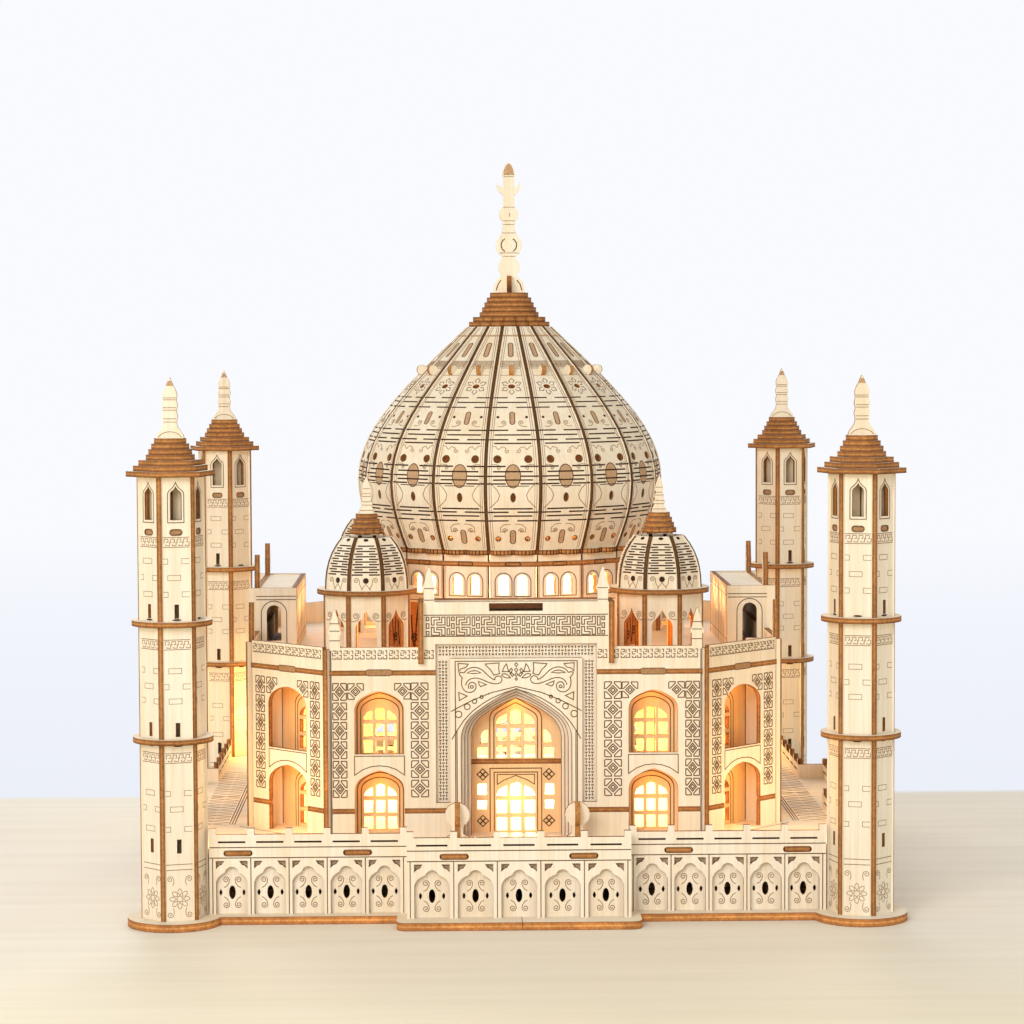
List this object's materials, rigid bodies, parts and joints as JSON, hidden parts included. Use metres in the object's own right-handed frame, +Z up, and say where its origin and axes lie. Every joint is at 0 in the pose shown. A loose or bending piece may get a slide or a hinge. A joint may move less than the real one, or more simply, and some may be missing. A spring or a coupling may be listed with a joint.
{
  "type": "miniature landmark model",
  "caption": "Laser-cut plywood model of a domed mausoleum on a plinth with corner towers, roof kiosks and a light inside.",
  "frame": {"origin": "centre of the base's underside", "axes": "+Z up, -Y towards the front portal, +X to the right seen from the front"},
  "size_m": [0.292, 0.292, 0.2896],
  "materials": {
    "plywood": "raw basswood plywood, laser-engraved",
    "burnt_ply": "laser-cut plywood edge",
    "led": "frosted, lit",
    "black_plastic": "moulded",
    "steel": "plated",
    "wire": "insulated wire"
  },
  "bodies": {
    "root": {"base_left": "plywood", "base_right": "plywood", "terrace_deck": "plywood", "terrace_formers": "burnt_ply", "plinth_backing": "plywood", "arcade_front": "plywood", "arcade_right": "plywood", "arcade_rear": "plywood", "arcade_left": "plywood", "tower_fl_frame": "burnt_ply", "tower_fr_frame": "burnt_ply", "tower_rr_frame": "burnt_ply", "tower_rl_frame": "burnt_ply", "tower_fl_panels": "plywood", "tower_fr_panels": "plywood", "tower_rr_panels": "plywood", "tower_rl_panels": "plywood", "tower_fl_rings": "burnt_ply", "tower_fr_rings": "burnt_ply", "tower_rr_rings": "burnt_ply", "tower_rl_rings": "burnt_ply", "tower_finials": "plywood", "facade_front": "plywood", "facade_right": "plywood", "facade_rear": "plywood", "facade_left": "plywood", "portal_frame_front": "plywood", "portal_frame_right": "plywood", "portal_frame_rear": "plywood", "portal_frame_left": "plywood", "iwan_walls": "plywood", "chamfer_walls": "plywood", "corner_ribs": "burnt_ply", "inner_walls": "plywood", "floor_plates": "burnt_ply", "roof_deck": "plywood", "portal_backs": "plywood", "portal_cheeks": "plywood", "kiosk_posts": "burnt_ply", "kiosk_panels": "plywood", "kiosk_eaves": "burnt_ply", "kiosk_ribs": "burnt_ply", "kiosk_gores": "plywood", "kiosk_caps": "burnt_ply", "kiosk_finials": "plywood", "drum_panels": "plywood", "drum_rings": "burnt_ply", "dome_ribs": "burnt_ply", "dome_gores": "plywood", "dome_cap": "burnt_ply", "main_finial": "plywood", "topiaries": "plywood", "led_module": "led", "led_lead": "wire", "battery_box": "black_plastic", "battery_cover": "black_plastic", "battery_cells": "steel"},
    "switch": {"switch_slider": "black_plastic"}
  },
  "joints": [
    {"name": "switch_slide", "type": "slide", "parent": "root", "child": "switch", "axis": [1, 0, 0], "range_m": [0, 0.0025]}
  ]
}
